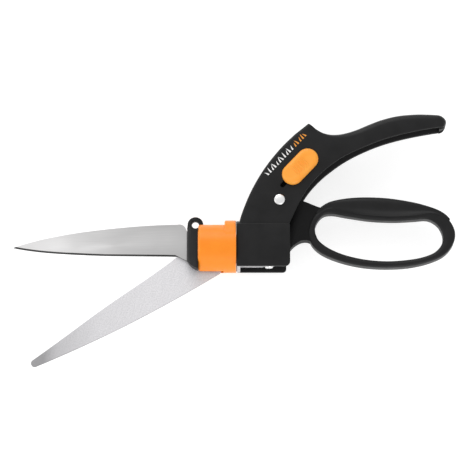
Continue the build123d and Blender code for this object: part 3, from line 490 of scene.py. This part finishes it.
def channel_ring(station, filled):
    """One section of the channel: a U open towards the loop, or a solid block where filled is 1."""
    ox, oy, ix, iy, half, round_r = station
    outer, inner = Vector((ox, oy)), Vector((ix, iy))
    depth = (inner - outer).length
    way = (inner - outer) / depth
    lip = min(1.1, depth * 0.2)
    round_r = min(round_r, depth * 0.45, half * 0.8)
    profile = corner((depth - lip, half - lip), lip, 0, 90, 4)
    profile += corner((round_r, half - round_r), round_r, 90, 180, 7)
    profile += [(0.0, (half - round_r) * step / 3) for step in (2, 1, 0, -1, -2)]
    profile += corner((round_r, -half + round_r), round_r, 180, 270, 7)
    profile += corner((depth - lip, -half + lip), lip, 270, 360, 4)
    floor = (WALL + 0.1) + (depth - WALL - 0.5) * filled
    room = max(half - WALL, 0.5)
    edge = depth - lip * 0.4
    inside = [(edge, -room - 0.3), (depth - lip, -room), (floor + 1.2, -room), (floor + 0.35, -room + 0.35)]
    inside += [(floor, -room + 1.2)]
    profile += inside + [(floor, 0.0)] + [(d, -z) for d, z in reversed(inside)]
    return [spot(*(outer + way * d), z) for d, z in profile]


LOCK_CENTRE = plan_of((Vector(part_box("lock_button")[0]) + Vector(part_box("lock_button")[1])) / 2)
LOCK_WAY = Vector(JOINTS["lock_slide"]["axis"]).xy.normalized()
LOCK_SIDE = Vector((-LOCK_WAY.y, LOCK_WAY.x))
LOCK_SLOT = (29.0, 3.5)
LOCK_SLOT_SHIFT = 6.5


def lock_spot(along, side, z):
    """A point counted from the button's centre, along the way it slides to lock."""
    place = LOCK_CENTRE + LOCK_WAY * along + LOCK_SIDE * side
    return spot(place.x, place.y, z)


def stadium(length, width, steps=12):
    """Outline of a slot centred on the origin."""
    radius = width / 2
    reach = length / 2 - radius
    return corner((reach, 0), radius, -90, 90, steps) + corner((-reach, 0), radius, 90, 270, steps)


def wall_outline(right, bottom, radius):
    """Outline of one of the housing's side walls, with a round lower corner at the rear."""
    outline = corner((3.0, bottom + 1.0), 1.0, 180, 270)
    outline += corner((right - radius, bottom + radius), radius, 270, 360)
    outline += corner((right - 0.8, 15.9), 0.8, 0, 90)
    return outline + corner((2.8, 15.9), 0.8, 90, 180)


LIP_R = 16.2
LIP_CENTRE_Y = 4.6
LIP_FOOT_Y = 15.0
# Profile of the lip from front to back: x, inset
# the lip's front reaches almost to the collar, so the gap behind the collar shows dark: painted shade for that gap
LIP_PROFILE = [(1.55, 0.3), (1.65, 0.1), (1.9, 0.0), (4.0, 0.0), (4.35, 0.15), (4.5, 0.5)]


def front_lip(mesh):
    """The round lip that stands up behind the collar's band."""
    reach = degrees(acos((LIP_FOOT_Y - LIP_CENTRE_Y) / LIP_R))
    rings = []
    for x, inset in LIP_PROFILE:
        arc = corner((LIP_CENTRE_Y, 0.0), LIP_R - inset, -reach, reach, 24)
        rings.append([spot(x, y, z) for y, z in arc])
    skin(mesh, rings)


FLANGE_FRONT = 1.6
FLANGE_BACK = 2.05
FLANGE_BORE_R = 11.7
FLANGE_CORNER_R = 17.7
FLANGE_HALF_Y = 15.9
FLANGE_HALF_Z = 13.7
FLANGE_STEPS = 72


def front_flange(mesh):
    """The thin flange between collar and bearing plate, open round the thrust washer. With the lip's front it
    fills the gap behind the collar with black: painted shade for that gap.
    """
    angles = [2 * pi * (i + 0.5) / FLANGE_STEPS for i in range(FLANGE_STEPS)]
    bore = [FLANGE_BORE_R] * FLANGE_STEPS
    rim = [min(FLANGE_CORNER_R, FLANGE_HALF_Y / abs(cos(t)), FLANGE_HALF_Z / abs(sin(t))) for t in angles]
    rings = []
    for x, reach in ((FLANGE_FRONT, bore), (FLANGE_FRONT, rim), (FLANGE_BACK, rim), (FLANGE_BACK, bore)):
        rings.append([spot(x, r * cos(t), r * sin(t)) for t, r in zip(angles, reach)])
    skin(mesh, rings, closed=True)


HOUSING_HALF = 14.0
SIDE_EDGE = 0.7
RIB_HALF = 11.8
RIB_EDGE = 0.3
# Ribs across the housing, as low x, low y, high x, high y: front rib, tongue seat and spring post
RIBS = [(2.4, 14.4, 6.8, 16.6), (14.0, -11.6, 30.0, -7.6), (20.5, 17.0, 25.5, 23.0)]


def housing_shell():
    """The side walls, the ribs between them and the two front rims."""
    mesh = bmesh.new()
    inner = HOUSING_HALF - WALL
    slab(mesh, wall_outline(41.7, -16.0, 3.8), inner, HOUSING_HALF, SIDE_EDGE)
    slab(mesh, wall_outline(39.2, -15.5, 2.6), -HOUSING_HALF, -inner, SIDE_EDGE)
    for left, low, right, high in RIBS:
        slab(mesh, [(left, low), (right, low), (right, high), (left, high)], -RIB_HALF, RIB_HALF, RIB_EDGE)
    front_lip(mesh)
    front_flange(mesh)
    return finish_mesh(mesh, "housing")


def handle_shell():
    """The moulded channel with its housing: one look, several closed shells."""
    mesh = bmesh.new()
    body = even_line(smooth_line(STATIONS[:8], 6), 40)[:-1]
    peak = smooth_line(STATIONS[7:12], 5)[:-1]
    grip = even_line(smooth_line(STATIONS[11:], 6), 70)
    rings = [channel_ring(station, 0.0) for station in body + peak + grip]
    closing = smooth_line([STATIONS[-1]] + TIP_STATIONS, 4)[1:]
    rings += [channel_ring(station, min(1.0, max(0.0, (i - 3) / 2))) for i, station in enumerate(closing)]
    skin(mesh, rings)
    shell = finish_mesh(mesh, "channel")

    mesh = bmesh.new()
    ring = stadium(*LOCK_SLOT)
    through_the_wall = (8.0, 15.0)
    skin(mesh, [[lock_spot(x + LOCK_SLOT_SHIFT, y, z) for x, y in ring] for z in through_the_wall])
    cutter = finish_mesh(mesh, "slot_cutter")
    cut = shell.modifiers.new("slot", "BOOLEAN")
    cut.operation = "DIFFERENCE"
    cut.object = cutter
    cut.solver = "EXACT"
    apply_modifiers(shell)
    bpy.data.objects.remove(cutter)

    return join("handle_shell", [shell, housing_shell()])


stand_in(handle_shell(), "handle", "handle_body")

# ---------------------------------------------------------------- finger loop
# Stations round the ring: outer contour x, y; inner contour x, y
LOOP = [
    (55.2, 11.0, 60.6, 13.4), (57.6, 20.5, 62.0, 19.2), (62.8, 28.0, 66.6, 24.6),
    (71.2, 33.2, 73.5, 25.9), (83.6, 35.8, 84.0, 24.1), (103.0, 36.6, 101.0, 21.5),
    (121.0, 35.2, 119.0, 20.6), (137.0, 32.4, 134.0, 21.3), (149.0, 29.0, 144.5, 21.9),
    (158.4, 24.3, 151.6, 18.2), (164.2, 16.4, 155.4, 12.2), (165.5, 8.6, 156.2, 6.2),
    (162.6, 0.6, 154.2, 0.8), (155.8, -6.4, 148.8, -4.2), (144.0, -11.4, 139.5, -7.6),
    (130.5, -14.3, 128.0, -9.5), (116.5, -15.3, 115.0, -10.3), (103.0, -14.9, 102.5, -9.6),
    (90.0, -13.1, 90.5, -7.6), (77.0, -9.6, 79.0, -4.2), (65.6, -4.5, 69.0, 0.8),
    (58.4, 2.0, 62.6, 6.6),
]
LOOP_HALF = 5.8
LOOP_EDGE = 2.0


def bar_ring(outer_x, outer_y, inner_x, inner_y):
    """A section of the ring: a bar with rounded edges and faintly crowned faces."""
    outer, inner = Vector((outer_x, outer_y)), Vector((inner_x, inner_y))
    width = (outer - inner).length
    way = (outer - inner) / width
    crown = 0.035 * width
    shoulder = LOOP_HALF - crown - LOOP_EDGE
    near, far = LOOP_EDGE, width - LOOP_EDGE
    crowned = [(near + (far - near) * k / 6, LOOP_HALF - crown * (k / 3 - 1) ** 2) for k in range(1, 6)]
    profile = corner((far, shoulder), LOOP_EDGE, 0, 90) + crowned[::-1]
    profile += corner((near, shoulder), LOOP_EDGE, 90, 180) + corner((near, -shoulder), LOOP_EDGE, 180, 270)
    profile += [(d, -z) for d, z in crowned] + corner((far, -shoulder), LOOP_EDGE, 270, 360)
    return [spot(*(inner + way * d), z) for d, z in profile]


def loop_ring():
    """The moulded ring round the fingers."""
    stations = even_line(smooth_line(LOOP, 8, closed=True), 168, closed=True)
    mesh = bmesh.new()
    skin(mesh, [bar_ring(*row) for row in stations], closed=True)
    return finish_mesh(mesh, "finger_ring", 60.0)


# Stations along the pad: crown x, y; crease x, y; half depth
PAD = [
    (61.4, 26.6, 64.4, 25.4, 5.6), (65.0, 30.9, 67.8, 28.2, 6.1), (70.5, 34.4, 73.0, 29.0, 7.0),
    (77.0, 36.3, 78.6, 27.9, 8.2), (86.0, 37.7, 87.0, 26.1, 9.3), (96.0, 38.3, 96.0, 24.5, 9.9),
    (106.0, 38.2, 105.5, 23.6, 10.0), (116.0, 37.5, 115.5, 23.1, 9.9), (127.0, 35.9, 126.0, 23.4, 9.5),
    (137.0, 33.9, 136.0, 24.3, 8.8), (146.0, 31.3, 145.0, 25.3, 7.9), (153.4, 28.5, 151.6, 24.9, 6.9),
    (158.8, 25.0, 156.4, 22.4, 6.1), (161.8, 21.6, 159.4, 19.6, 5.6),
]
# Section of the pad: share of the way from crown to crease, and share of its rise above the ring
PAD_SECTION = [
    (1.0, 0.0), (0.955, 0.12), (0.9, 0.3), (0.83, 0.5), (0.74, 0.7), (0.63, 0.86), (0.5, 0.96), (0.38, 1.0),
    (0.26, 0.98), (0.16, 0.9), (0.085, 0.74), (0.03, 0.48), (0.0, 0.1),
]
PAD_BASE = LOOP_HALF - 0.45


def pad_ring(crown_x, crown_y, crease_x, crease_y, half):
    """A section of the pad, which wraps the ring's bar and slopes down to the crease."""
    crown, crease = Vector((crown_x, crown_y)), Vector((crease_x, crease_y))
    rise = max(half - PAD_BASE, 0.05)
    side = [(share, PAD_BASE + rise * height) for share, height in PAD_SECTION]
    profile = side + [(share, -z) for share, z in reversed(side)]
    return [spot(*crown.lerp(crease, share), z) for share, z in profile]


def grip_pad():
    """The crowned soft pad along the top of the loop."""
    stations = even_line(smooth_line(PAD, 6), 96)
    mesh = bmesh.new()
    skin(mesh, [pad_ring(*row) for row in stations])
    return finish_mesh(mesh, "grip_pad", 70.0)


stand_in(loop_ring(), "lever", "finger_loop")
pad = grip_pad()
stand_in(pad, "lever", "loop_grip")
stand_in(rounded("lever_core", "lever_neck", 0.7), "lever", "lever_core")

# ---------------------------------------------------------------- lock button
BUTTON_BASE = 13.3
BUTTON_SIZE = (32.4, 16.0)
# Profile from the rim to the dish: inset, height
BUTTON_PROFILE = [
    (0.5, 0.0), (0.1, 0.25), (0.0, 0.7), (0.0, 1.6), (0.35, 2.5),
    (1.0, 3.25), (1.9, 3.7), (2.9, 3.8), (4.0, 3.7), (5.2, 3.5),
]
FINGER_RIBS = 5
FINGER_RIB_STEP = 2.5
FINGER_RIB_HALF = (0.55, 4.2)
# Profile of a finger rib from its root to its crest: inset, height
FINGER_RIB_PROFILE = [(0.0, 3.2), (0.0, 3.75), (0.25, 4.0)]
STEM_FOOT = 10.6
STEM_SIZE = (19.0, 3.1)
STEM_SHIFT = 4.0


def thumb_button():
    """A stadium-shaped slide with a domed rim, a shallow dish and raised finger ribs."""
    mesh = bmesh.new()
    rings = []
    for inset, height in BUTTON_PROFILE:
        outline = stadium(BUTTON_SIZE[0] - 2 * inset, BUTTON_SIZE[1] - 2 * inset, 16)
        rings.append([lock_spot(x, y, BUTTON_BASE + height) for x, y in outline])
    skin(mesh, rings)
    for i in range(FINGER_RIBS):
        middle = (i - (FINGER_RIBS - 1) / 2) * FINGER_RIB_STEP
        rib_rings = []
        for inset, height in FINGER_RIB_PROFILE:
            half_width, half_length = (half - inset for half in FINGER_RIB_HALF)
            ends = [(middle - half_width, -half_length), (middle + half_width, -half_length)]
            ends += [(middle + half_width, half_length), (middle - half_width, half_length)]
            rib_rings.append([lock_spot(x, y, BUTTON_BASE + height) for x, y in ends])
        skin(mesh, rib_rings)
    stem = stadium(*STEM_SIZE)
    skin(mesh, [[lock_spot(x + STEM_SHIFT, y, z) for x, y in stem] for z in (STEM_FOOT, BUTTON_BASE + 0.6)])
    return finish_mesh(mesh, "thumb_button", 40.0)


button = thumb_button()
stand_in(button, "lock", "lock_button")
button.data.materials[0] = orange_plastic("orange_button", (1.0, 0.36, 0.035), (1.0, 0.41, 0.06))

# ---------------------------------------------------------------- rivet and print
HINGE = plan_of(JOINTS["lever_squeeze"]["pos_m"])
ARM_FACE = 13.2
RIVET_HEAD_R = 4.05
RIVET_HEAD_RIM = 0.55
RIVET_DOME = 1.15
RIVET_SHANK_R = 2.48
# Profile of the rolled tail: radius, z
RIVET_TAIL = [(0.9, -15.4), (2.6, -15.4), (3.1, -15.2), (3.3, -14.8), (3.3, -14.1)]
LATHE_STEPS = 40


def lathe(mesh, centre, profile):
    """Adds a turned solid about a vertical line, from (radius, z) pairs in millimetres."""
    angles = [2 * pi * i / LATHE_STEPS for i in range(LATHE_STEPS)]
    rings = []
    for radius, z in profile:
        rings.append([spot(centre[0] + radius * cos(t), centre[1] + radius * sin(t), z) for t in angles])
    skin(mesh, rings)


def domed_rivet():
    """The shoulder rivet, with a shallow dome on its head and a rolled tail."""
    mesh = bmesh.new()
    rim = ARM_FACE + RIVET_HEAD_RIM
    turns = [radians(angle) for angle in range(0, 90, 10)]
    profile = RIVET_TAIL + [(RIVET_SHANK_R, RIVET_TAIL[-1][1]), (RIVET_SHANK_R, ARM_FACE)]
    profile += [(RIVET_HEAD_R - 0.15, ARM_FACE), (RIVET_HEAD_R, ARM_FACE + 0.15)]
    profile += [(RIVET_HEAD_R * cos(turn), rim + RIVET_DOME * sin(turn)) for turn in turns]
    lathe(mesh, HINGE, profile + [(0.35, rim + RIVET_DOME - 0.01)])
    return finish_mesh(mesh, "domed_rivet", 40.0)


stand_in(domed_rivet(), "handle", "pivot_rivet")

PRINT_THICK = 0.05
PRINT_ROOT = 0.3
PRINT_TURN = 46.9


def blade_tick(mesh, foot, height, lean, width):
    """One printed grass blade: a curved, pointed stroke that stands on the print line."""
    along = Vector((cos(radians(PRINT_TURN)), sin(radians(PRINT_TURN))))
    up = Vector((-along.y, along.x))
    rows = []
    for k in range(7):
        t = k / 6
        middle = foot + up * (height * t) + along * (lean * t * t)
        half = along * (0.5 * width * (1.0 - t) ** 0.7 + 0.04)
        rows.append((middle - half, middle + half))
    outline = [row[1] for row in rows] + [row[0] for row in reversed(rows)]
    skin(mesh, [[spot(p.x, p.y, ARM_FACE + z) for p in outline] for z in (-PRINT_ROOT, PRINT_THICK)])


def print_row(name, start, end, strokes, ink):
    """A row of printed strokes between two points of the arm."""
    mesh = bmesh.new()
    start, end = Vector(start), Vector(end)
    for i, (height, lean, width) in enumerate(strokes):
        blade_tick(mesh, start.lerp(end, i / (len(strokes) - 1)), height, lean, width)
    piece = finish_mesh(mesh, name)
    piece.data.materials.append(ink)
    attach(piece, "handle")


# Strokes as height, lean and width
WHITE_STROKES = [
    (3.4, -1.2, 1.2), (4.5, 0.6, 1.3), (3.8, 1.6, 1.2), (4.6, -0.8, 1.3), (3.2, 1.0, 1.1), (4.4, 1.4, 1.3),
    (3.9, -1.4, 1.2), (4.6, 0.4, 1.3), (3.5, 1.5, 1.2), (4.5, -0.5, 1.3), (3.6, 1.2, 1.2),
]
ORANGE_STROKES = [(3.2, 0.8, 1.2), (4.2, -0.8, 1.3), (3.6, 1.2, 1.2), (4.3, 0.5, 1.3), (3.3, -1.0, 1.2)]
WHITE_INK = print_ink("white_ink", (0.9, 0.9, 0.9))
ORANGE_INK = print_ink("orange_ink", (0.85, 0.32, 0.03))
print_row("print_white", (26.0, 53.9), (44.2, 73.4), WHITE_STROKES, WHITE_INK)
print_row("print_orange", (46.6, 76.0), (54.0, 83.9), ORANGE_STROKES, ORANGE_INK)

# ---------------------------------------------------------------- head
stand_in(rounded("holder_near", "holder_near_shell", 0.8), "head", "holder_near")
stand_in(rounded("holder_far", "holder_far_shell", 0.8), "head", "holder_far")
pressed_plate = rounded("bearing_plate", "bearing_plate_pressed", 0.3, 2, crease_angle=20.0)
ground_blade = rounded("fixed_blade", "fixed_blade_ground", 0.12, 2, angle=20.0, crease_angle=15.0)
blasted_blade = rounded("moving_blade", "moving_blade_blasted", 0.15, 2, crease_angle=15.0)
stand_in(pressed_plate, "handle", "bearing_plate")
stand_in(ground_blade, "head", "fixed_blade")
stand_in(blasted_blade, "cutting_blade", "moving_blade")

# ---------------------------------------------------------------- camera, floor and light
VIEW_ELEVATION = 77.0
VIEW_CENTRE = spot(-0.86, 12.2)
VIEW_DISTANCE = 2.2
SHEET_WIDTH = 0.3495


def look_at(thing, place, target):
    """Points a camera or light at a target."""
    thing.location = place
    thing.rotation_euler = (target - place).to_track_quat("-Z", "Y").to_euler()
    bpy.context.scene.collection.objects.link(thing)


lens = bpy.data.cameras.new("camera")
lens.sensor_width = 36.0
lens.lens = lens.sensor_width * VIEW_DISTANCE / SHEET_WIDTH
lens.clip_end = 20.0
camera = bpy.data.objects.new("camera", lens)
tilt = radians(VIEW_ELEVATION)
look_at(camera, VIEW_CENTRE + Vector((0.0, -cos(tilt), sin(tilt))) * VIEW_DISTANCE, VIEW_CENTRE)
bpy.context.scene.camera = camera


def soft_light(name, place, size, power):
    """A square area light aimed at the tool."""
    light = bpy.data.lights.new(name, "AREA")
    light.size = size
    light.energy = power
    look_at(bpy.data.objects.new(name, light), Vector(place), Vector((0.0, 0.0, 0.02)))


soft_light("back", (-0.3, 1.1, 0.75), 0.9, 6.0)
soft_light("front", (0.5, -1.2, 0.6), 0.9, 5.6)
soft_light("side", (-1.2, -0.2, 0.5), 0.6, 2.5)

FLOOR_STEP = 0.5
FLOOR_DROP = 0.0005
FLOOR_REACH = 8
floor_mesh = bmesh.new()
tiles = range(-FLOOR_REACH, FLOOR_REACH + 1)
floor_grid = [[Vector((x * FLOOR_STEP, y * FLOOR_STEP, -FLOOR_DROP)) for x in tiles] for y in tiles]
floor_rows = [[floor_mesh.verts.new(point) for point in row] for row in floor_grid]
for low_row, high_row in zip(floor_rows, floor_rows[1:]):
    for i in range(len(low_row) - 1):
        floor_mesh.faces.new((low_row[i], low_row[i + 1], high_row[i + 1], high_row[i]))
floor = finish_mesh(floor_mesh, "floor")
WHITE = (1.0, 1.0, 1.0, 1.0)
paper = Look("light_table", (0.45, 0.45, 0.45), 0.8, Emission_Color=WHITE, Emission_Strength=0.75)
paper.send(paper.ramp(paper.noise(60.0, 3.0), [(0.3, 0.44), (0.7, 0.46)]), "Base Color")
floor.data.materials.append(paper.material)

world = bpy.data.worlds.new("studio")
world.use_nodes = True
sky = world.node_tree.nodes["Background"]
sky.inputs["Color"].default_value = WHITE
sky.inputs["Strength"].default_value = 0.72
bpy.context.scene.world = world
bpy.context.scene.view_settings.view_transform = "Standard"
